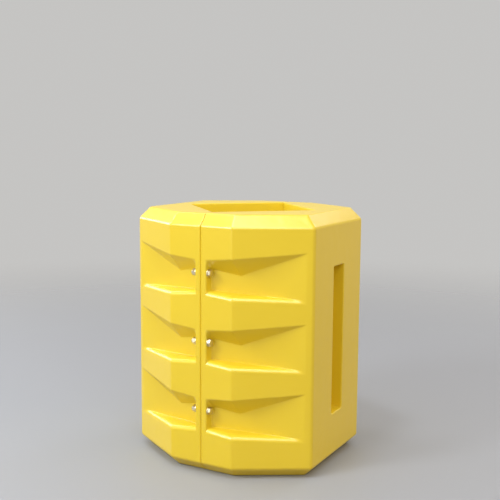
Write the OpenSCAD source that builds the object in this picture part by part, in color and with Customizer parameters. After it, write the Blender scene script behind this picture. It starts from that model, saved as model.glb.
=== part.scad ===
// Moulded guard for a square column: two half shells that wrap the column
// and are bolted to each other through the flanges of two upright seams.
// X runs across the two halves, Y from the rear seam to the front one at -Y, Z up.

/* [Column] */
// Side of the square column, whose corners point at the seams
column_side = 229; // [150:1:330]
// Gap between the column and the opening on each side
column_gap = 12; // [2:0.5:25]
// Radius of the opening's corner behind each middle face
opening_r = 12; // [4:1:30]

/* [Shell] */
// Height of the guard
guard_h = 610; // [600:1:1100]
// Wall from a seam face to the corner of the opening
seam_wall = 55; // [36:1:90]
// Wall from a middle face to the corner of the opening
middle_wall = 63; // [44:1:110]
// Width of a seam face, across both halves
seam_face_w = 165; // [120:1:220]
// Angle between a seam face and the slanted face beside it
slant = 31; // [22:1:36]
// Height of the top bevel
top_bevel = 28; // [12:1:36]
// Inset of the top bevel
top_bevel_inset = 25; // [12:1:36]
// Height and inset of the bottom bevel
bottom_bevel = 24; // [8:1:36]

/* [Edges] */
// Radius of the upright outer edges
upright_r = 12; // [4:1:24]
// Radius where a bevel meets the upright faces
bevel_r = 10; // [3:1:16]
// Radius where a bevel meets the top or the bottom
rim_r = 7; // [3:1:12]
// Radius of the edges along the seams and round the opening
seam_r = 4; // [1:0.5:6]

/* [Bolt recesses] */
// Recesses on each side of a seam
recess_count = 3; // [1:1:3]
// Height from one recess to the next
recess_pitch = 162; // [130:1:175]
// Height of the middle recess above the middle of the upright faces
recess_rise = 3; // [-10:1:10]
// Thickness of a seam flange, from the seam to the recess
flange_t = 15; // [10:1:30]
// Height of the recess mouth at the flange
flange_mouth_h = 74; // [60:1:90]
// Height of the recess mouth at the edge of the seam face
corner_mouth_h = 86; // [70:1:105]
// Height of the recess mouth at its far end
end_mouth_h = 107; // [80:1:120]
// Height of the far end's middle above the middle of its recess
end_rise = 3; // [0:1:12]
// Distance from the far end of a recess to the middle face
end_margin = 17; // [6:1:50]
// Fall of the recess ceiling, from level
ceiling_fall = 44; // [20:1:50]
// Rise of the recess ledge from the mouth to the back
ledge_rise = 2; // [0:0.5:6]
// Radius of the lip along the foot of a recess
ledge_lip_r = 10; // [4:0.5:12]

/* [Middle slot] */
// Width of the slot in a middle face
slot_w = 60; // [30:1:110]
// Height of the slot
slot_h = 358; // [150:1:480]
// Radius of the slot's corners
slot_r = 4; // [2:0.5:14]
// Wall left between the slot and the corner of the opening
slot_floor_t = 20; // [6:1:30]

/* [Fasteners] */
// Diameter of the bolts
bolt_d = 10; // [6:1:12]
// Width across the flats of the bolt heads and nuts
hex_af = 16; // [14:1:20]
// Height of a bolt head
head_h = 6.4; // [4:0.1:10]
// Height of a nut
nut_h = 8.4; // [5:0.1:12]
// Length of bolt that stands out of a nut
bolt_end = 4; // [1:0.5:10]
// Outer diameter of the washers
washer_d = 20; // [19:0.5:28]
// Thickness of a washer
washer_t = 2; // [1:0.1:4]
// Room between a washer and the back of its recess
washer_room = 1.5; // [1:0.5:6]
// Height of the bolts above the middle of their recess
bolt_rise = 6; // [-8:1:8]
// Clearance of the bolts in the flanges and washers, on the diameter
bolt_clearance = 1; // [0.4:0.1:2]
// Clearance of the bolts in the nuts, on the diameter
thread_clearance = 0.2; // [0.1:0.05:0.4]

/* [Hidden] */

shell_colour = [0.96, 0.84, 0.20];
zinc_colour = [0.78, 0.79, 0.80];

// Segments of each rounded edge, and of the round fasteners
edge_steps = 4;
round_steps = 48;
// How far a cut runs past the surface that it opens
overcut = 1;
// The same for the recesses, as a share of their depth
mouth_share = 0.4;
end_share = 0.08;
// Share of the slanted part of a ledge along which its lip is rounded
lip_share = 0.94;

// Plan of the right half
opening_reach = (column_side + 2 * column_gap) / sqrt(2);
half_d = opening_reach + seam_wall;
half_w = opening_reach + middle_wall;
corner_x = seam_face_w / 2;
middle_y = half_d - (half_w - corner_x) * tan(slant);

half_plan = [[0, -half_d], [corner_x, -half_d], [half_w, -middle_y],
             [half_w, middle_y], [corner_x, half_d], [0, half_d],
             [0, opening_reach], [opening_reach, 0], [0, -opening_reach]];
corner_radii = [seam_r, upright_r, upright_r, upright_r, upright_r, seam_r, seam_r, opening_r, seam_r];
// Edges 0 to 4 are the outer faces; the others lie along the seams and the opening
outer_edges = 5;

// Recess centres
middle_z = (bottom_bevel + guard_h - top_bevel) / 2;
recess_z = [for (i = [0 : recess_count - 1])
    middle_z + recess_rise + (i - (recess_count - 1) / 2) * recess_pitch];

// A recess is as deep at the flange as its washer needs, and runs out at its far end
recess_depth = washer_d + 2 * washer_room;
bolt_y = -half_d + recess_depth / 2;
recess_end = [half_w - end_margin * cos(slant), -middle_y - end_margin * sin(slant)];
back_y0 = -half_d + recess_depth;
back_slope = (recess_end.y - back_y0) / (recess_end.x - flange_t);
corner_back_y = back_y0 + (corner_x - flange_t) * back_slope;
corner_share = (corner_x - flange_t) / (recess_end.x - flange_t);

// Corners of the recess ledge, about the recess's own centre height
flange_foot = [flange_t, -half_d, -flange_mouth_h / 2];
corner_foot = [corner_x, -half_d, -corner_mouth_h / 2];
end_foot = [recess_end.x, recess_end.y, end_rise - end_mouth_h / 2];
back_foot = [flange_t, back_y0, flange_foot.z + ledge_rise];
corner_back_foot = back_foot + (end_foot - back_foot) * corner_share;

washer_hole_d = bolt_d + bolt_clearance;
head_seat = flange_t + washer_t;

function unit(v) = v / norm(v);
function turn_left(v) = [-v.y, v.x];

// Where the line through p along u crosses the line through q along v
function crossing(p, u, q, v) = p + u * cross(q - p, v) / cross(u, v);

// Corners of a plan after each edge has moved inwards by its own distance
function inset_plan(plan, insets) =
    let (n = len(plan))
    [for (i = [0 : n - 1])
        let (before = (i + n - 1) % n,
             after = (i + 1) % n,
             u = unit(plan[i] - plan[before]),
             v = unit(plan[after] - plan[i]))
        crossing(plan[i] + turn_left(u) * insets[before], u,
                 plan[i] + turn_left(v) * insets[i], v)];

// Points of the arc that rounds corner p between its neighbours a and b
function corner_arc(a, p, b, r) =
    let (u = unit(a - p),
         v = unit(b - p),
         opening_angle = acos(u * v),
         centre = p + unit(u + v) * r / sin(opening_angle / 2),
         first = p + u * r / tan(opening_angle / 2) - centre,
         sweep = (cross(u, v) < 0 ? 1 : -1) * (180 - opening_angle))
    [for (k = [0 : edge_steps])
        let (t = sweep * k / edge_steps)
        centre + [first.x * cos(t) - first.y * sin(t), first.x * sin(t) + first.y * cos(t)]];

function rounded(plan, radii) =
    let (n = len(plan))
    [for (i = [0 : n - 1])
        each corner_arc(plan[(i + n - 1) % n], plan[i], plan[(i + 1) % n], radii[i])];

// Outer profile from the bottom to the top, as [inset, height]
profile_corners = [[half_w, 0], [bottom_bevel, 0], [0, bottom_bevel],
                   [0, guard_h - top_bevel], [top_bevel_inset, guard_h], [half_w, guard_h]];
profile_radii = [0, rim_r, bevel_r, bevel_r, rim_r];
outer_profile = [for (i = [1 : 4])
    each corner_arc(profile_corners[i - 1], profile_corners[i], profile_corners[i + 1], profile_radii[i])];

// Inset of the seam and opening edges, which are only rounded at the top and the bottom
function seam_inset(z) =
    let (d = min(z, guard_h - z))
    d >= seam_r ? 0 : seam_r - sqrt(seam_r ^ 2 - (seam_r - d) ^ 2);

function ring(step) =
    let (insets = [for (i = [0 : len(half_plan) - 1]) i < outer_edges ? step.x : seam_inset(step.y)])
    [for (p = rounded(inset_plan(half_plan, insets), corner_radii)) [p.x, p.y, step.y]];

// Index in a ring of point k on the arc of a plan corner
function at(corner, k) = corner * (edge_steps + 1) + k;

// The C-shaped end of a ring in three faces, each one in full view of its first point
half_steps = floor(edge_steps / 2);
end_faces = [
    concat([at(2, edge_steps)],
           [for (k = [half_steps : edge_steps]) at(7, k)],
           [for (corner = [8, 0, 1], k = [0 : edge_steps]) at(corner, k)],
           [for (k = [0 : edge_steps - 1]) at(2, k)]),
    [at(2, edge_steps), at(3, 0), at(7, half_steps)],
    concat([for (corner = [3 : 6], k = [0 : edge_steps]) at(corner, k)],
           [for (k = [0 : half_steps]) at(7, k)])];

// Closed skin over a stack of rings of the half plan
module loft(rings) {
    n = len(rings[0]);
    last = len(rings) - 1;
    sides = [for (j = [0 : last - 1], i = [0 : n - 1])
        let (k = (i + 1) % n)
        [j * n + i, (j + 1) * n + i, (j + 1) * n + k, j * n + k]];
    top = [for (face = end_faces)
        [for (i = [0 : len(face) - 1]) last * n + face[(len(face) - i) % len(face)]]];
    polyhedron([for (r = rings) each r], concat(end_faces, top, sides), convexity = 6);
}

// Wedge-shaped recess at the right of the front seam, about its own centre height:
// a steep ceiling, a ledge that is nearly level, and one back wall from the flange to the far end
module recess() {
    fall = tan(ceiling_fall);
    flange_top = [flange_t, -half_d, flange_mouth_h / 2];
    corner_top = [corner_x, -half_d, corner_mouth_h / 2];
    end_top = [recess_end.x, recess_end.y, end_rise + end_mouth_h / 2];
    back_top = [flange_t, back_y0, flange_top.z - recess_depth * fall];
    corner_back_top = [corner_x, corner_back_y, corner_top.z - (corner_back_y + half_d) * fall];

    mouth = [for (pair = [[back_top, flange_top, mouth_share],
                          [corner_back_top, corner_top, mouth_share],
                          [corner_back_top, end_top, end_share],
                          [corner_back_foot, end_foot, end_share],
                          [corner_back_foot, corner_foot, mouth_share],
                          [back_foot, flange_foot, mouth_share]])
        pair[1] + (pair[1] - pair[0]) * pair[2]];
    polyhedron(concat(mouth, [back_top, corner_back_top, corner_back_foot, back_foot]),
               [[0, 1, 4, 5], [1, 2, 3, 4],
                [0, 6, 7, 1], [1, 7, 2],
                [7, 6, 9, 8, 3, 2],
                [5, 4, 8, 9], [4, 3, 8],
                [0, 5, 9, 6]]);
}

// Section of the material outside a lip of radius r at p, with u along the ledge, away from the lip
function lip_section(p, u, r) =
    let (down = [0, 0, -1])
    concat([p - (u + down) * overcut, p - u * overcut + down * r],
           [for (k = [0 : edge_steps])
               let (t = 90 * k / edge_steps)
               p + (u * (1 - cos(t)) + down * (1 - sin(t))) * r],
           [p + u * r - down * overcut]);

// Rounds the lip of a ledge, by less and less towards the far end
module ledge_lip() {
    sections = [lip_section(flange_foot, unit(back_foot - flange_foot), ledge_lip_r),
                lip_section(corner_foot, unit(corner_back_foot - corner_foot), ledge_lip_r),
                lip_section(corner_foot + (end_foot - corner_foot) * lip_share,
                            unit(corner_back_foot - corner_foot), ledge_lip_r * (1 - lip_share))];
    n = len(sections[0]);
    polyhedron([for (section = sections) each section],
               concat([[for (i = [0 : n - 1]) i]],
                      [for (j = [0, 1], i = [0 : n - 1])
                          let (k = (i + 1) % n)
                          [j * n + i, (j + 1) * n + i, (j + 1) * n + k, j * n + k]],
                      [[for (i = [0 : n - 1]) 2 * n + (n - i) % n]]));
}

module bolt_hole() {
    translate([-overcut, bolt_y, bolt_rise]) rotate([0, 90, 0])
        cylinder(d = washer_hole_d, h = flange_t + 2 * overcut, $fn = round_steps);
}

// Tall blind slot in the middle face
module middle_slot() {
    slot_plan = [[-slot_h / 2, -slot_w / 2], [slot_h / 2, -slot_w / 2],
                 [slot_h / 2, slot_w / 2], [-slot_h / 2, slot_w / 2]];
    floor_x = opening_reach + slot_floor_t;
    translate([floor_x, 0, middle_z]) rotate([0, 90, 0])
        linear_extrude(half_w - floor_x + overcut)
            polygon(rounded(slot_plan, [slot_r, slot_r, slot_r, slot_r]));
}

module half_shell() {
    difference() {
        loft([for (step = outer_profile) ring(step)]);
        for (side = [0, 1], z = recess_z) mirror([0, side, 0]) translate([0, 0, z]) {
            recess();
            ledge_lip();
            bolt_hole();
        }
        middle_slot();
    }
}

// Places its children on the bolt axes of one seam, with their Z along the bolt
module at_bolts(side) {
    for (z = recess_z) mirror([0, side, 0])
        translate([0, bolt_y, z + bolt_rise]) rotate([0, 90, 0]) children();
}

// Hexagon with one end chamfered down to its flats
module hexagon(h) {
    intersection() {
        cylinder(d = hex_af / cos(30), h = h, $fn = 6);
        cylinder(d1 = hex_af + 2 * h / tan(30), d2 = hex_af, h = h, $fn = round_steps);
    }
}

module bolt() {
    shank = 2 * head_seat + nut_h + bolt_end;
    translate([0, 0, head_seat]) hexagon(head_h);
    translate([0, 0, head_seat - shank])
        cylinder(d = bolt_d, h = shank + head_h / 2, $fn = round_steps);
}

module nut() {
    difference() {
        mirror([0, 0, 1]) hexagon(nut_h);
        translate([0, 0, -nut_h - overcut])
            cylinder(d = bolt_d + thread_clearance, h = nut_h + 2 * overcut, $fn = round_steps);
    }
}

module washer() {
    difference() {
        cylinder(d = washer_d, h = washer_t, $fn = round_steps);
        translate([0, 0, -overcut])
            cylinder(d = washer_hole_d, h = washer_t + 2 * overcut, $fn = round_steps);
    }
}

module seam_bolts(side) {
    color(zinc_colour) at_bolts(side) bolt();
}

module head_washers(side) {
    color(zinc_colour) at_bolts(side) translate([0, 0, flange_t]) washer();
}

module nut_washers(side) {
    color(zinc_colour) at_bolts(side) translate([0, 0, -head_seat]) washer();
}

module seam_nuts(side) {
    color(zinc_colour) at_bolts(side) translate([0, 0, -head_seat]) nut();
}

module half_shell_right() {
    color(shell_colour) half_shell();
}

module half_shell_left() {
    color(shell_colour) mirror([1, 0, 0]) half_shell();
}

front = 0;
rear = 1;
half_shell_right();
half_shell_left();
seam_bolts(front);  // front_bolts
head_washers(front);  // front_head_washers
nut_washers(front);  // front_nut_washers
seam_nuts(front);  // front_nuts
seam_bolts(rear);  // rear_bolts
head_washers(rear);  // rear_head_washers
nut_washers(rear);  // rear_nut_washers
seam_nuts(rear);  // rear_nuts
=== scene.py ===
import math

import bmesh
import bpy
from mathutils import Matrix, Vector


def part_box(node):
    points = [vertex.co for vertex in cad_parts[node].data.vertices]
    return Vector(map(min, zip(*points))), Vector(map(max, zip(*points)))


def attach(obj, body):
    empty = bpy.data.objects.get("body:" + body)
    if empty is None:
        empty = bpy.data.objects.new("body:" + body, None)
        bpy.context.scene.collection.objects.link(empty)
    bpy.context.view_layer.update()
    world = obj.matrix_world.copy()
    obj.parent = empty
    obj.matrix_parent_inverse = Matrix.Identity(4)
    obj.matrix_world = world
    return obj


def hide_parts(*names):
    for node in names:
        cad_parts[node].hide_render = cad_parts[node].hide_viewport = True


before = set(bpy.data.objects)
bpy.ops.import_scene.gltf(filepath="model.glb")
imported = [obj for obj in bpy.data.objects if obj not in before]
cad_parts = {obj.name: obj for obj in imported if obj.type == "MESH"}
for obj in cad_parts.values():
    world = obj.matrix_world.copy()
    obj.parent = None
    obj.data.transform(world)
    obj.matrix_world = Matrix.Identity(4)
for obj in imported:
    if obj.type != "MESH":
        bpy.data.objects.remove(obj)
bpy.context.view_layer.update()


# Shader maths as plain expressions: a wrapped socket adds Math nodes
class Value:
    def __init__(self, maker, socket):
        self.maker = maker
        self.socket = socket

    # Another output of the same node
    def output(self, name):
        return Value(self.maker, self.socket.node.outputs[name])

    def calc(self, operation, first, second):
        return self.maker.add("ShaderNodeMath", {"operation": operation}, {0: first, 1: second})

    def __add__(self, other):
        return self.calc("ADD", self, other)

    def __sub__(self, other):
        return self.calc("SUBTRACT", self, other)

    def __rsub__(self, other):
        return self.calc("SUBTRACT", other, self)

    def __mul__(self, other):
        return self.calc("MULTIPLY", self, other)

    __radd__ = __add__
    __rmul__ = __mul__


# One method adds any node: its settings first, then the values or links of its sockets
class Maker:
    def __init__(self, tree):
        self.tree = tree
        tree.nodes.clear()

    def add(self, kind, settings=None, inputs=None, output=0):
        node = self.tree.nodes.new(kind)
        for key, value in (settings or {}).items():
            setattr(node, key, value)
        for key, value in (inputs or {}).items():
            self.feed(node.inputs[key], value)
        return Value(self, node.outputs[output]) if node.outputs else node

    def feed(self, socket, value):
        if isinstance(value, Value):
            self.tree.links.new(value.socket, socket)
        else:
            socket.default_value = value

    def place(self):
        return self.add("ShaderNodeTexCoord", output="Object")

    def noise(self, place, scale, detail, roughness=0.5):
        inputs = {"Vector": place, "Scale": scale, "Detail": detail, "Roughness": roughness}
        return self.add("ShaderNodeTexNoise", None, inputs)

    def between(self, value, low, high):
        inputs = {"Value": value, "To Min": low, "To Max": high}
        return self.add("ShaderNodeMapRange", None, inputs)

    # The colours of a Mix node are its inputs 6 and 7 and its output 2
    def blend(self, factor, first, second):
        inputs = {"Factor": factor, 6: first, 7: second}
        return self.add("ShaderNodeMix", {"data_type": "RGBA"}, inputs, 2)

    def bump(self, height, strength):
        inputs = {"Strength": strength, "Distance": 1.0, "Height": height}
        return self.add("ShaderNodeBump", None, inputs)


def newMaterial(name):
    material = bpy.data.materials.new(name)
    material.use_nodes = True
    return material, Maker(material.node_tree)


def finishMaterial(maker, inputs):
    surface = maker.add("ShaderNodeBsdfPrincipled", None, inputs)
    maker.add("ShaderNodeOutputMaterial", None, {"Surface": surface})


# Moulded polyethylene: even colour, a satin skin with fine grain and a slow ripple

shellFinish = {
    "deep": (0.82, 0.632, 0.026, 1.0),
    "bright": (0.86, 0.662, 0.032, 1.0),
    "cloud": {"scale": 5.0, "detail": 3.0},       # noises, with scales per metre
    "ripple": {"scale": 38.0, "detail": 1.0},
    "grain": {"scale": 620.0, "detail": 2.0, "roughness": 0.6},
    "roughness": (0.25, 0.35),
    "cloudShare": 0.6,            # of the change in roughness, and the grain has the rest
    "rippleHeight": 0.0012,       # bump heights, in metres
    "grainHeight": 0.00012,
    "bumpStrength": 0.5,
    "ior": 1.5,
    "gloss": 0.65,
}


def shellMaterial(look):
    material, maker = newMaterial("mouldedYellow")
    place = maker.place()
    cloud, ripple, grain = [maker.noise(place, **look[name]) for name in ("cloud", "ripple", "grain")]
    mottle = cloud * look["cloudShare"] + grain * (1 - look["cloudShare"])
    height = ripple * look["rippleHeight"] + grain * look["grainHeight"]
    finishMaterial(maker, {
        "Base Color": maker.blend(cloud, look["deep"], look["bright"]),
        "Roughness": maker.between(mottle, *look["roughness"]),
        "Normal": maker.bump(height, look["bumpStrength"]),
        "IOR": look["ior"],
        "Specular IOR Level": look["gloss"],
    })
    return material


# Bright zinc plate on the bolts, nuts and washers

zincFinish = {
    "pale": (0.72, 0.68, 0.54, 1.0),
    "warm": (0.70, 0.59, 0.34, 1.0),
    "patch": {"scale": 90.0, "detail": 3.0},
    "brush": {"scale": 900.0, "detail": 2.0},
    "roughness": (0.24, 0.42),
    "patchShare": 0.5,
    "brushHeight": 0.00003,
    "bumpStrength": 0.4,
}


def zincMaterial(look):
    material, maker = newMaterial("zincPlate")
    place = maker.place()
    patch, brush = [maker.noise(place, **look[name]) for name in ("patch", "brush")]
    mottle = patch * look["patchShare"] + brush * (1 - look["patchShare"])
    finishMaterial(maker, {
        "Base Color": maker.blend(patch, look["pale"], look["warm"]),
        "Roughness": maker.between(mottle, *look["roughness"]),
        "Normal": maker.bump(brush * look["brushHeight"], look["bumpStrength"]),
        "Metallic": 1.0,
    })
    return material


mouldedYellow = shellMaterial(shellFinish)
zincPlate = zincMaterial(zincFinish)
print("materials made")


def newPiece(name, data):
    piece = bpy.data.objects.new(name, data)
    bpy.context.scene.collection.objects.link(piece)
    return piece


def meshPiece(name, mesh):
    data = bpy.data.meshes.new(name)
    mesh.to_mesh(data)
    mesh.free()
    return newPiece(name, data)


def addModifier(piece, name, kind, settings):
    modifier = piece.modifiers.new(name, kind)
    for key, value in settings.items():
        setattr(modifier, key, value)
    return modifier


# The evaluated modifiers of a piece become its plain mesh
def settle(piece):
    layer = bpy.context.evaluated_depsgraph_get()
    mesh = bpy.data.meshes.new_from_object(piece.evaluated_get(layer))
    piece.modifiers.clear()
    piece.data = mesh
    mesh.name = piece.name


# Half shell: flat faces with sharp edges, which a bevel then rounds by the kinds of face they join

shellSizes = {
    "seamFace": 0.165,            # width of a seam face, across both halves
    "slant": math.radians(31),    # turn from a seam face to the face beside it
    "topInset": 0.025,
    "topBevel": 0.028,
    "bottomBevel": 0.024,
    "opening": 0.253,             # side of the square opening
    "openingRound": 0.012,
    "arcSteps": 8,
}

recessSizes = {
    "rows": 3,
    "pitch": 0.162,
    "rise": 0.003,                # middle recess above the middle of the upright faces
    "flange": 0.015,
    "flangeMouth": 0.074,
    "cornerMouth": 0.086,
    "endMouth": 0.107,
    "endRise": 0.003,
    "endMargin": 0.017,
    "depth": 0.023,
    "ceilingFall": math.radians(44),
    "ledgeRise": 0.002,
}

slotSizes = {
    "wide": 0.060,
    "tall": 0.358,
    "round": 0.004,
    "floorWall": 0.020,           # wall left behind the slot
}

holeSizes = {
    "diameter": 0.011,
    "reach": 0.018,
    "start": 0.001,               # past the seam, so that the cut is clean
    "steps": 40,
}

# Radius of the edge between two kinds of face
edgeRounds = {
    ("upright", "upright"): 0.012,
    ("bevel", "bevel"): 0.012,
    ("bevel", "upright"): 0.010,
    ("bevel", "level"): 0.007,
    ("seam", "upright"): 0.004,
    ("bevel", "seam"): 0.003,
    ("level", "seam"): 0.003,
    ("level", "opening"): 0.003,
    ("opening", "seam"): 0.003,
    ("ceiling", "upright"): 0.006,
    ("ceiling", "ceiling"): 0.008,
    ("ledge", "upright"): 0.011,
    ("flange", "upright"): 0.004,
    ("back", "upright"): 0.020,
    ("back", "ceiling"): 0.005,
    ("back", "ledge"): 0.002,
    ("back", "flange"): 0.005,
    ("ceiling", "flange"): 0.009,
    ("flange", "ledge"): 0.004,
    ("slotWall", "upright"): 0.003,
    ("slotFloor", "slotWall"): 0.003,
}

edgeFinish = {
    "width": 0.010,                   # of a bevel whose weight is one
    "steps": 5,
    "leastTurn": math.radians(4),     # a flatter edge is left alone
    "normalWeight": 90,               # pull of the large faces on the shading
}

halfWide, halfDeep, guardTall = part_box("half_shell_right")[1]
boltLow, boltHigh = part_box("front_bolts")


def arcPoints(centre, radius, start, sweep, steps):
    turns = [start + sweep * k / steps for k in range(steps + 1)]
    return [(centre[0] + radius * math.cos(t), centre[1] + radius * math.sin(t)) for t in turns]


# Collects the flat faces of one half, each with its kind
class Faces:
    def __init__(self):
        self.mesh = bmesh.new()
        self.kinds = []
        self.found = {}

    # Places that agree to the micrometre share a point
    def point(self, place):
        key = tuple(round(c, 6) for c in place)
        if key not in self.found:
            self.found[key] = self.mesh.verts.new(place)
        return self.found[key]

    def add(self, kind, *places):
        self.mesh.faces.new([self.point(p) for p in places])
        self.kinds.append(kind)

    # The same face at the front and, mirrored, at the rear
    def addBoth(self, kind, *places):
        self.add(kind, *places)
        self.add(kind, *[(x, -y, z) for x, y, z in places])


def outerCorners(inset):
    slant = shellSizes["slant"]
    cornerX = shellSizes["seamFace"] / 2
    middleY = halfDeep - (halfWide - cornerX) * math.tan(slant)
    seam = (0.0, inset - halfDeep)
    side = (cornerX - inset * math.tan(slant / 2), inset - halfDeep)
    middle = (halfWide - inset, inset * math.tan((math.pi / 2 - slant) / 2) - middleY)
    return seam, side, middle


def openingCorners():
    reach = shellSizes["opening"] / math.sqrt(2)
    radius = shellSizes["openingRound"]
    centre = (reach - radius * math.sqrt(2), 0.0)
    arc = arcPoints(centre, radius, -math.pi / 4, math.pi / 2, shellSizes["arcSteps"])
    return [(0.0, -reach), *arc, (0.0, reach)]


def recessHeights():
    middle = (shellSizes["bottomBevel"] + guardTall - shellSizes["topBevel"]) / 2 + recessSizes["rise"]
    span = (recessSizes["rows"] - 1) / 2
    return [middle + (row - span) * recessSizes["pitch"] for row in range(recessSizes["rows"])]


# Corners of the recess at the right of the front seam, at height z
def recessCorners(z):
    size = recessSizes
    slant = shellSizes["slant"]
    fall = math.tan(size["ceilingFall"])
    cornerX = shellSizes["seamFace"] / 2
    middle = outerCorners(0.0)[2]
    end = (middle[0] - size["endMargin"] * math.cos(slant), middle[1] - size["endMargin"] * math.sin(slant))
    backY = size["depth"] - halfDeep
    share = (cornerX - size["flange"]) / (end[0] - size["flange"])
    cornerY = backY + (end[1] - backY) * share
    flangeTop = size["flangeMouth"] / 2
    cornerTop = size["cornerMouth"] / 2
    endFoot = size["endRise"] - size["endMouth"] / 2
    backFoot = size["ledgeRise"] - flangeTop
    corners = {
        "flangeTop": (size["flange"], -halfDeep, flangeTop),
        "cornerTop": (cornerX, -halfDeep, cornerTop),
        "endTop": (*end, size["endRise"] + size["endMouth"] / 2),
        "flangeFoot": (size["flange"], -halfDeep, -flangeTop),
        "cornerFoot": (cornerX, -halfDeep, -cornerTop),
        "endFoot": (*end, endFoot),
        "backTop": (size["flange"], backY, flangeTop - size["depth"] * fall),
        "cornerBackTop": (cornerX, cornerY, cornerTop - (cornerY + halfDeep) * fall),
        "backFoot": (size["flange"], backY, backFoot),
        "cornerBackFoot": (cornerX, cornerY, backFoot + (endFoot - backFoot) * share),
    }
    return {name: (x, y, z + h) for name, (x, y, h) in corners.items()}


def addRecess(faces, c):
    faces.addBoth("ceiling", c["flangeTop"], c["cornerTop"], c["cornerBackTop"], c["backTop"])
    faces.addBoth("ceiling", c["cornerTop"], c["endTop"], c["cornerBackTop"])
    faces.addBoth("back", c["backTop"], c["cornerBackTop"], c["endTop"], c["endFoot"],
                  c["cornerBackFoot"], c["backFoot"])
    faces.addBoth("ledge", c["flangeFoot"], c["cornerFoot"], c["cornerBackFoot"], c["backFoot"])
    faces.addBoth("ledge", c["cornerFoot"], c["endFoot"], c["cornerBackFoot"])
    faces.addBoth("flange", c["flangeTop"], c["backTop"], c["backFoot"], c["flangeFoot"])


# Seam face and slanted face, each one outline with a notch at every recess
def addNotchedFaces(faces, low, high):
    seam, side, middle = outerCorners(0.0)
    seamFace = [(*seam, high), (*seam, low), (*side, low)]
    slantFace = [(*middle, high), (*middle, low), (*side, low)]
    for z in recessHeights():
        c = recessCorners(z)
        addRecess(faces, c)
        seamFace += [c["cornerFoot"], c["flangeFoot"], c["flangeTop"], c["cornerTop"]]
        slantFace += [c["cornerFoot"], c["endFoot"], c["endTop"], c["cornerTop"]]
    faces.addBoth("upright", *seamFace, (*side, high))
    faces.addBoth("upright", *slantFace, (*side, high))


# Middle face in two halves round the slot, then the slot's walls and floor
def addMiddleFace(faces, low, high):
    size = slotSizes
    middleZ = (low + high) / 2
    floorX = shellSizes["opening"] / math.sqrt(2) + size["floorWall"]
    halfSlot, halfTall, radius = size["wide"] / 2, size["tall"] / 2, size["round"]
    corner = (radius - halfSlot, halfTall - radius)
    quarter = arcPoints(corner, radius, math.pi, -math.pi / 2, shellSizes["arcSteps"])
    outline = [(y, -z) for y, z in reversed(quarter)] + quarter
    outline = [(0.0, -halfTall), *outline, (0.0, halfTall)]
    rim = [(halfWide, y, middleZ + z) for y, z in outline]
    floor = [(floorX, y, z) for x, y, z in rim]
    edgeY = outerCorners(0.0)[2][1]
    faces.addBoth("upright", *rim, (halfWide, 0.0, high), (halfWide, edgeY, high),
                  (halfWide, edgeY, low), (halfWide, 0.0, low))
    for k in range(len(rim) - 1):
        faces.addBoth("slotWall", rim[k], rim[k + 1], floor[k + 1], floor[k])
    faces.addBoth("slotFloor", *floor)


# Bevelled ends, level top and bottom, seam faces and the wall of the opening
def addEnds(faces, low, high):
    size = shellSizes
    opening = openingCorners()
    outer = outerCorners(0.0)
    seamEnds = []
    for inset, z, edgeZ in ((size["bottomBevel"], 0.0, low), (size["topInset"], guardTall, high)):
        inner = outerCorners(inset)
        seam, side, middle = inner
        for k in range(2):
            faces.addBoth("bevel", (*outer[k], edgeZ), (*outer[k + 1], edgeZ),
                          (*inner[k + 1], z), (*inner[k], z))
        rear = [(x, -y) for x, y in (middle, side, seam)]
        faces.add("bevel", (*outer[2], edgeZ), (halfWide, 0.0, edgeZ), (halfWide, -outer[2][1], edgeZ),
                  (*rear[0], z), (*middle, z))
        faces.add("level", *[(*p, z) for p in (seam, side, middle, *rear, *reversed(opening))])
        seamEnds.append((*seam, z))
    faces.addBoth("seam", seamEnds[0], (*outer[0], low), (*outer[0], high), seamEnds[1],
                  (*opening[0], guardTall), (*opening[0], 0.0))
    for start, end in zip(opening, opening[1:]):
        faces.add("opening", (*start, 0.0), (*end, 0.0), (*end, guardTall), (*start, guardTall))


# Bevel weight of each edge, from the radius and the turn between its faces
def weighEdges(faces):
    mesh = faces.mesh
    layer = mesh.edges.layers.float.new("bevel_weight_edge")
    mesh.faces.index_update()
    mesh.normal_update()
    for edge in mesh.edges:
        pair = tuple(sorted(faces.kinds[f.index] for f in edge.link_faces))
        turn = edge.calc_face_angle(0.0)
        if pair in edgeRounds and turn > edgeFinish["leastTurn"]:
            edge[layer] = edgeRounds[pair] * math.tan(turn / 2) / edgeFinish["width"]


# Rods where the bolts go through the flanges of one half, to be cut away
def boltHoles(side):
    size = holeSizes
    mesh = bmesh.new()
    pitch = recessSizes["pitch"]
    x = side * (size["reach"] / 2 - size["start"])
    boltY = (boltLow.y + boltHigh.y) / 2
    spread = (boltHigh.z - boltLow.z) / 2 - pitch
    alongX = Matrix.Rotation(math.pi / 2, 4, "Y")
    rod = {"radius1": size["diameter"] / 2, "radius2": size["diameter"] / 2, "depth": size["reach"]}
    for y in (boltY, -boltY):
        for row in range(recessSizes["rows"]):
            place = Matrix.Translation((x, y, boltLow.z + spread + row * pitch)) @ alongX
            bmesh.ops.create_cone(mesh, cap_ends=True, segments=size["steps"], matrix=place, **rod)
    return meshPiece("boltHoles", mesh)


# One half before its edges are rounded: side is 1 at the right and -1 at the left
def sharpShell(name, side):
    faces = Faces()
    low, high = shellSizes["bottomBevel"], guardTall - shellSizes["topBevel"]
    addNotchedFaces(faces, low, high)
    addMiddleFace(faces, low, high)
    addEnds(faces, low, high)
    mesh = faces.mesh
    bmesh.ops.scale(mesh, vec=(side, 1, 1), verts=mesh.verts)
    bmesh.ops.recalc_face_normals(mesh, faces=mesh.faces)
    weighEdges(faces)
    for face in mesh.faces:
        face.smooth = True
    return meshPiece(name, mesh)


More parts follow.
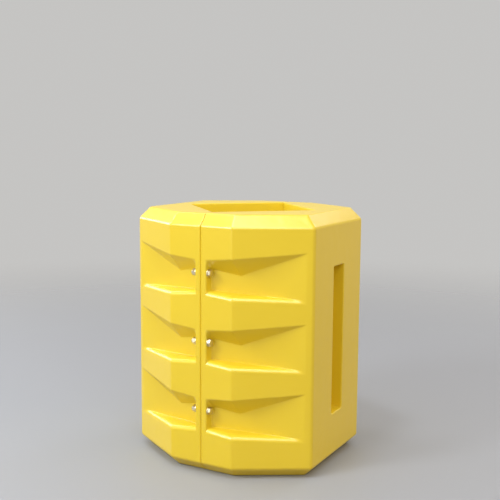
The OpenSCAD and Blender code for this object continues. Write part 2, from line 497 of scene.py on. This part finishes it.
def halfShell(name, side):
    piece = sharpShell(name, side)
    cutter = boltHoles(side)
    addModifier(piece, "rounding", "BEVEL", {
        "limit_method": "WEIGHT", "offset_type": "OFFSET", "use_clamp_overlap": False,
        "width": edgeFinish["width"], "segments": edgeFinish["steps"]})
    addModifier(piece, "drill", "BOOLEAN", {"operation": "DIFFERENCE", "solver": "EXACT", "object": cutter})
    addModifier(piece, "shading", "WEIGHTED_NORMAL", {
        "mode": "FACE_AREA_WITH_ANGLE", "weight": edgeFinish["normalWeight"], "keep_sharp": True})
    settle(piece)
    bpy.data.objects.remove(cutter)
    piece.data.materials.clear()
    piece.data.materials.append(mouldedYellow)
    print(name, len(piece.data.polygons), "faces")
    return piece


halves = (("halfShellRight", "half_shell_right", 1), ("halfShellLeft", "half_shell_left", -1))
for name, node, side in halves:
    piece = halfShell(name, side)
    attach(piece, "root")
    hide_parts(node)
print("shells made")


# Bolts, nuts and washers: each is one skin of rings along X, set three times in a row

hexSizes = {
    "across": 0.016,              # across the flats of head and nut
    "face": 0.95,                 # share of the flats that the round end face takes
    "chamfer": math.radians(30),
}

boltSizes = {
    "radius": 0.005,
    "washerFace": 0.0004,         # round step under the head
    "filletLong": 0.0005,         # between the shank and the head
    "filletWide": 0.0004,
    "pointChamfer": 0.0011,
    "threadLong": 0.017,
    "threadPitch": 0.0015,
    "threadDeep": 0.0008,
    "threadSteep": 1.25,          # past 1 the root of the thread is flat
    "ringsPerTurn": 8,
}

nutSizes = {
    "bore": 0.0052,               # radius, as in the washers
    "countersink": 0.0007,
}

washerSizes = {
    "bore": 0.0055,
    "round": 0.0004,
    "roundSteps": 3,
}

# Pieces of a row, by the ends of their nodes' names; the rear row has the next seed
rowPieces = {
    "bolts": {"name": "Bolts", "seed": 11, "bored": False},
    "nuts": {"name": "Nuts", "seed": 21, "bored": True},
    "head_washers": {"name": "HeadWashers", "seed": 31, "bored": True},
    "nut_washers": {"name": "NutWashers", "seed": 41, "bored": True},
}

rowFinish = {
    "steps": 48,                      # points in a ring
    "sharpTurn": math.radians(22),    # edges that turn more stay sharp
    "mostTurn": math.pi / 3,          # each fastener stops at a turn of its own
}

hexRim = hexSizes["across"] / 2 * hexSizes["face"]


def hexRadius(turn):
    return hexSizes["across"] / 2 / math.cos((turn + math.pi / 6) % (math.pi / 3) - math.pi / 6)


# Rings of points along X become one skin: each ring gives (x, radius) for a turn round the axis
def skinRings(mesh, rings, bored):
    steps = rowFinish["steps"]
    turns = [2 * math.pi * k / steps for k in range(steps)]
    rows = []
    for ring in rings:
        places = [(*ring(t), t) for t in turns]
        rows.append([mesh.verts.new((x, r * math.cos(t), r * math.sin(t))) for x, r, t in places])
    pairs = list(zip(rows, rows[1:])) + ([(rows[-1], rows[0])] if bored else [])
    for low, high in pairs:
        for k in range(steps):
            mesh.faces.new((low[k], low[k - 1], high[k - 1], high[k]))
    if not bored:
        mesh.faces.new(rows[0])
        mesh.faces.new(rows[-1])


def plainRing(x, radius):
    return lambda turn: (x, radius)


# Edge of a hexagon at x, cut back by the cone of its chamfer; ahead is the way its end faces
def hexRing(x, ahead):
    def ring(turn):
        radius = hexRadius(turn)
        return x - ahead * (radius - hexRim) * math.tan(hexSizes["chamfer"]), radius
    return ring


# Thread as a wave of the radius that climbs one pitch each turn, and runs out at both ends
def threadRing(x, start, end):
    size = boltSizes
    fade = max(0.0, min(1.0, (x - end) / size["threadPitch"], (start - x) / size["threadPitch"]))

    def ring(turn):
        phase = (x / size["threadPitch"] + turn / (2 * math.pi)) % 1.0
        wave = min(1.0, size["threadSteep"] * abs(2 * phase - 1))
        return x, size["radius"] - size["threadDeep"] * fade * wave
    return ring


def boltRings(low, high, headFoot):
    size = boltSizes
    radius = size["radius"]
    point = low + size["pointChamfer"]
    start = low + size["threadLong"]
    count = int((start - point) / size["threadPitch"] * size["ringsPerTurn"])
    places = [point + (start - point) * k / count for k in range(count + 1)]
    step = headFoot + size["washerFace"]
    return [
        plainRing(low, radius - size["pointChamfer"]),
        *[threadRing(x, start, point) for x in places],
        plainRing(headFoot - size["filletLong"], radius),
        plainRing(headFoot, radius + size["filletWide"]),
        plainRing(headFoot, hexRim),
        plainRing(step, hexRim),
        lambda turn: (step, hexRadius(turn)),
        hexRing(high, 1),
        plainRing(high, hexRim),
    ]


def nutRings(low, high):
    bore, sink = nutSizes["bore"], nutSizes["countersink"]
    return [
        plainRing(low + sink, bore),
        plainRing(low, bore + sink),
        plainRing(low, hexRim),
        hexRing(low, -1),
        hexRing(high, 1),
        plainRing(high, hexRim),
        plainRing(high, bore + sink),
        plainRing(high - sink, bore),
    ]


def washerRings(low, high, outer):
    bore, edge, steps = washerSizes["bore"], washerSizes["round"], washerSizes["roundSteps"]
    turns = [math.pi / 2 * k / steps for k in range(steps + 1)]
    return [
        plainRing(low, bore),
        *[plainRing(low + edge - edge * math.cos(t), outer - edge + edge * math.sin(t)) for t in turns],
        *[plainRing(high - edge + edge * math.sin(t), outer - edge + edge * math.cos(t)) for t in turns],
        plainRing(high, bore),
    ]


# Node tree that sets one fastener in a row of bolt places, each turned by chance, and gives it its finish
def rowTree():
    tree = bpy.data.node_groups.new("fastenerRow", "GeometryNodeTree")
    kinds = {
        "Fastener": "NodeSocketGeometry",
        "Rows": "NodeSocketInt",
        "Row Pitch": "NodeSocketFloat",
        "First Place": "NodeSocketVector",
        "Most Turn": "NodeSocketFloat",
        "Seed": "NodeSocketInt",
        "Finish": "NodeSocketMaterial",
    }
    for name, kind in kinds.items():
        tree.interface.new_socket(name, in_out="INPUT", socket_type=kind)
    tree.interface.new_socket("Row", in_out="OUTPUT", socket_type="NodeSocketGeometry")
    maker = Maker(tree)
    given = maker.add("NodeGroupInput")
    take = {name: given.output(name) for name in kinds}
    step = maker.add("ShaderNodeCombineXYZ", None, {"Z": take["Row Pitch"]})
    line = maker.add("GeometryNodeMeshLine", {"mode": "OFFSET"}, {
        "Count": take["Rows"], "Start Location": take["First Place"], "Offset": step})
    chance = {3: take["Most Turn"], "Seed": take["Seed"]}        # input 3 is the most, as a number
    turn = maker.add("FunctionNodeRandomValue", {"data_type": "FLOAT"}, chance, 1)
    spin = maker.add("ShaderNodeCombineXYZ", None, {"X": turn})
    placed = maker.add("GeometryNodeInstanceOnPoints", None, {
        "Points": line, "Instance": take["Fastener"], "Rotation": spin})
    real = maker.add("GeometryNodeRealizeInstances", None, {"Geometry": placed})
    dressed = maker.add("GeometryNodeSetMaterial", None, {"Geometry": real, "Material": take["Finish"]})
    maker.add("NodeGroupOutput", None, {"Row": dressed})
    return tree


def fastenerRow(tree, name, node, rings, bored, seed):
    mesh = bmesh.new()
    skinRings(mesh, rings, bored)
    bmesh.ops.recalc_face_normals(mesh, faces=mesh.faces)
    piece = meshPiece(name, mesh)
    piece.data.shade_smooth()
    piece.data.set_sharp_from_angle(angle=rowFinish["sharpTurn"])
    piece.data.materials.append(zincPlate)
    low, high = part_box(node)
    rows, pitch = recessSizes["rows"], recessSizes["pitch"]
    firstZ = (low.z + high.z) / 2 - pitch * (rows - 1) / 2
    values = {
        "Rows": rows,
        "Row Pitch": pitch,
        "First Place": (0.0, (low.y + high.y) / 2, firstZ),
        "Most Turn": rowFinish["mostTurn"],
        "Seed": seed,
        "Finish": zincPlate,
    }
    row = addModifier(piece, "row", "NODES", {"node_group": tree})
    for item in tree.interface.items_tree:
        if item.item_type == "SOCKET" and item.name in values:
            row[item.identifier] = values[item.name]
    settle(piece)
    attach(piece, "root")
    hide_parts(node)
    print(name, len(piece.data.polygons), "faces")


def addFasteners():
    tree = rowTree()
    for later, end in enumerate(("front", "rear")):
        boxes = {kind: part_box(end + "_" + kind) for kind in rowPieces}
        spans = {kind: (low.x, high.x) for kind, (low, high) in boxes.items()}
        washerLow, washerHigh = boxes["head_washers"]
        outer = (washerHigh.y - washerLow.y) / 2
        rings = {
            "bolts": boltRings(*spans["bolts"], washerHigh.x),
            "nuts": nutRings(*spans["nuts"]),
            "head_washers": washerRings(*spans["head_washers"], outer),
            "nut_washers": washerRings(*spans["nut_washers"], outer),
        }
        for kind, made in rowPieces.items():
            name, node, seed = end + made["name"], end + "_" + kind, made["seed"] + later
            fastenerRow(tree, name, node, rings[kind], made["bored"], seed)


addFasteners()
print("fasteners made")


# Camera at the photograph's place and angle

cameraFit = {
    "place": (1.0312, -1.8507, 0.7805),
    "turn": math.radians(-29.157),
    "fall": math.radians(7.508),
    "roll": math.radians(0.351),
    "focal": 851.7,           # in pixels of the frame
    "frame": 500.0,
    "sensor": 36.0,
}


def placeCamera(fit):
    turn, fall, roll = fit["turn"], fit["fall"], fit["roll"]
    ahead = Vector((math.sin(turn) * math.cos(fall), math.cos(turn) * math.cos(fall), -math.sin(fall)))
    right = Vector((math.cos(turn), -math.sin(turn), 0.0))
    up = right.cross(ahead)
    across = right * math.cos(roll) + up * math.sin(roll)
    upright = up * math.cos(roll) - right * math.sin(roll)
    lens = bpy.data.cameras.new("photoCamera")
    lens.sensor_width = fit["sensor"]
    lens.lens = fit["focal"] / fit["frame"] * fit["sensor"]
    camera = newPiece("photoCamera", lens)
    turned = Matrix((across, upright, -ahead)).transposed().to_4x4()
    camera.matrix_world = Matrix.Translation(fit["place"]) @ turned
    bpy.context.scene.camera = camera


placeCamera(cameraFit)


# Pale floor and soft studio light

floorLook = {
    "colour": (0.24, 0.20, 0.16, 1.0),        # as it lights the guard
    "seen": (0.347, 0.376, 0.43, 1.0),        # as the camera and gloss see it
    "roughness": 0.55,
    "reach": 12.0,
    "near": 0.9,              # it fades from here
    "far": 3.6,               # to nothing here
}

skyLook = {
    "colour": (1.0, 0.89, 0.76, 1.0),         # as it lights the guard, with the two strengths
    "horizon": 0.68,
    "zenith": 0.74,
    "seenColour": (1.0, 0.99, 0.97, 1.0),
    "seen": 0.56,
}

white = (1.0, 1.0, 1.0)
softboxes = {
    "keySoftbox": {"from": (-0.05, -1.05, 3.3), "size": (0.4, 0.4), "power": 21.0},
    "frontLeftSoftbox": {"from": (-0.95, -1.85, 1.75), "size": (0.6, 0.6), "power": 23.0},
    "frontRightSoftbox": {"from": (1.6, -1.5, 1.9), "size": (0.8, 0.8), "power": 8.5},
    "frontSoftbox": {"from": (-0.5, -3.0, 0.9), "size": (1.2, 1.2), "power": 10.0},
    "leftSoftbox": {"from": (-3.0, 0.1, 1.3), "size": (1.0, 1.0), "power": 25.0},
    "rearSoftbox": {"from": (0.9, 2.6, 2.6), "size": (1.2, 1.2), "power": 20.0},
    "rightSoftbox": {"from": (2.8, 0.3, 2.2), "size": (1.8, 1.8), "power": 15.0,
                     "colour": (1.0, 0.72, 0.46)},
}

# Tall strips that show only as gloss, along the rounded lips of the recesses
strips = {
    "leftStrip": {"from": (-0.81, -1.51, 2.75), "size": (0.5, 2.6), "power": 34.0},
    "rightStrip": {"from": (0.94, -1.44, 2.75), "size": (0.5, 2.6), "power": 32.0},
    "sideStrip": {"from": (-1.70, 0.05, 2.75), "size": (0.5, 2.6), "power": 36.0},
}


# One where the camera, a reflection or glass looks on, nought for light that falls on the guard
def lookedAt(maker):
    rays = maker.add("ShaderNodeLightPath")
    names = ("Is Camera Ray", "Is Glossy Ray", "Is Transmission Ray")
    camera, glossy, through = [rays.output(name) for name in names]
    return 1 - (1 - camera) * (1 - glossy) * (1 - through)


def makeFloor(look):
    mesh = bpy.data.meshes.new("floor")
    r = look["reach"]
    mesh.from_pydata([(-r, -r, 0), (r, -r, 0), (r, r, 0), (-r, r, 0)], [], [(0, 1, 2, 3)])
    material, maker = newMaterial("paleFloor")
    away = maker.add("ShaderNodeVectorMath", {"operation": "LENGTH"}, {0: maker.place()}, "Value")
    reach = {"Value": away, "From Min": look["near"], "From Max": look["far"]}
    fade = maker.add("ShaderNodeMapRange", {"interpolation_type": "SMOOTHSTEP"}, reach)
    watched = lookedAt(maker)
    colour = maker.blend(watched, look["colour"], look["seen"])
    skin = {"Base Color": colour, "Roughness": look["roughness"]}
    paint = maker.add("ShaderNodeBsdfPrincipled", None, skin)
    clear = maker.add("ShaderNodeBsdfTransparent")
    both = maker.add("ShaderNodeMixShader", None, {0: fade * watched, 1: paint, 2: clear})
    maker.add("ShaderNodeOutputMaterial", None, {"Surface": both})
    mesh.materials.append(material)
    newPiece("floor", mesh)


def makeSky(look):
    world = bpy.data.worlds.new("studio")
    world.use_nodes = True
    maker = Maker(world.node_tree)
    way = maker.add("ShaderNodeTexCoord", output="Generated")
    height = maker.add("ShaderNodeSeparateXYZ", None, {0: way}, "Z")
    glow = maker.between(height, look["horizon"], look["zenith"])
    light = maker.add("ShaderNodeBackground", None, {"Color": look["colour"], "Strength": glow})
    seen = maker.add("ShaderNodeBackground", None, {"Color": look["seenColour"], "Strength": look["seen"]})
    both = maker.add("ShaderNodeMixShader", None, {0: lookedAt(maker), 1: light, 2: seen})
    maker.add("ShaderNodeOutputWorld", None, {"Surface": both})
    bpy.context.scene.world = world


def makeLamps(table, lightsAll):
    target = Vector((0.0, 0.0, guardTall / 2))
    for name, spec in table.items():
        light = bpy.data.lights.new(name, "AREA")
        light.shape = "RECTANGLE"
        light.size, light.size_y = spec["size"]
        light.energy = spec["power"]
        light.color = spec.get("colour", white)
        lamp = newPiece(name, light)
        lamp.location = spec["from"]
        lamp.rotation_euler = (target - lamp.location).to_track_quat("-Z", "Y").to_euler()
        lamp.visible_diffuse = lightsAll


makeFloor(floorLook)
makeSky(skyLook)
makeLamps(softboxes, True)
makeLamps(strips, False)
bpy.context.scene.view_settings.view_transform = "Standard"
print("camera and light set")
